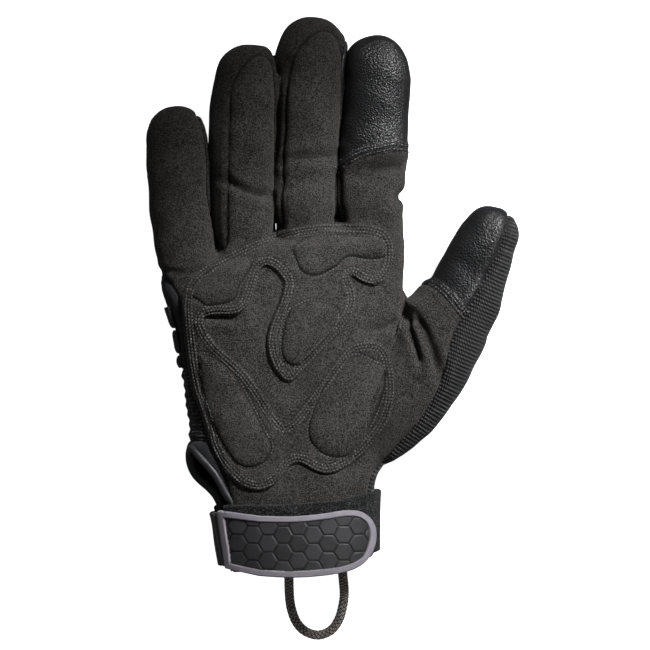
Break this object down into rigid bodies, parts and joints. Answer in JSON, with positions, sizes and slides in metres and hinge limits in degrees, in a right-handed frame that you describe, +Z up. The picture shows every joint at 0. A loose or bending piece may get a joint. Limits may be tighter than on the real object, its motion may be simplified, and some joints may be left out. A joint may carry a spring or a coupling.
{
  "type": "tactical glove",
  "caption": "Right-hand work glove with a padded suede palm, leather fingertips, a knit thumb side, a hook-and-loop wrist closure and a pull cord, lying palm up",
  "frame": {"origin": "On the flat resting face under the back of the hand, below the middle of the palm", "axes": "+Z up, out of the palm; +Y towards the fingertips; +X towards the thumb"},
  "size_m": [0.1647, 0.2763, 0.0499],
  "materials": {
    "suede": "matte fine-napped synthetic suede, warm dark grey",
    "leather": "black pebble-grained leather with a soft sheen",
    "rib_knit": "black ribbed stretch knit",
    "back_cloth": "black stretch cloth",
    "edge_cloth": "smooth black padded cloth",
    "loop_fabric": "fuzzy dark grey loop fabric",
    "strap_web": "black woven strap",
    "binding": "dark grey folded binding tape",
    "rubber_plate": "matte charcoal moulded rubber",
    "rubber_border": "matte grey moulded rubber",
    "cord": "black braided cord with a brown-grey fleck"
  },
  "bodies": {
    "root": {"palm_panel": "suede", "back_panel": "back_cloth", "fourchette_pinky_ring": "suede", "fourchette_ring_middle": "suede", "fourchette_middle_index": "suede", "index_tip_cap": "leather", "thumb_tip_cap": "leather", "thumb_knit_panel": "rib_knit", "ulnar_gusset": "rib_knit", "edge_pad_1": "edge_cloth", "edge_pad_2": "edge_cloth", "edge_pad_3": "edge_cloth", "palm_overlay": "suede", "slit_binding": "binding", "loop_band": "loop_fabric", "closure_strap": "strap_web", "closure_tab": "rubber_plate", "tab_rim": "rubber_border", "cord_loop": "cord"}
  },
  "joints": []
}
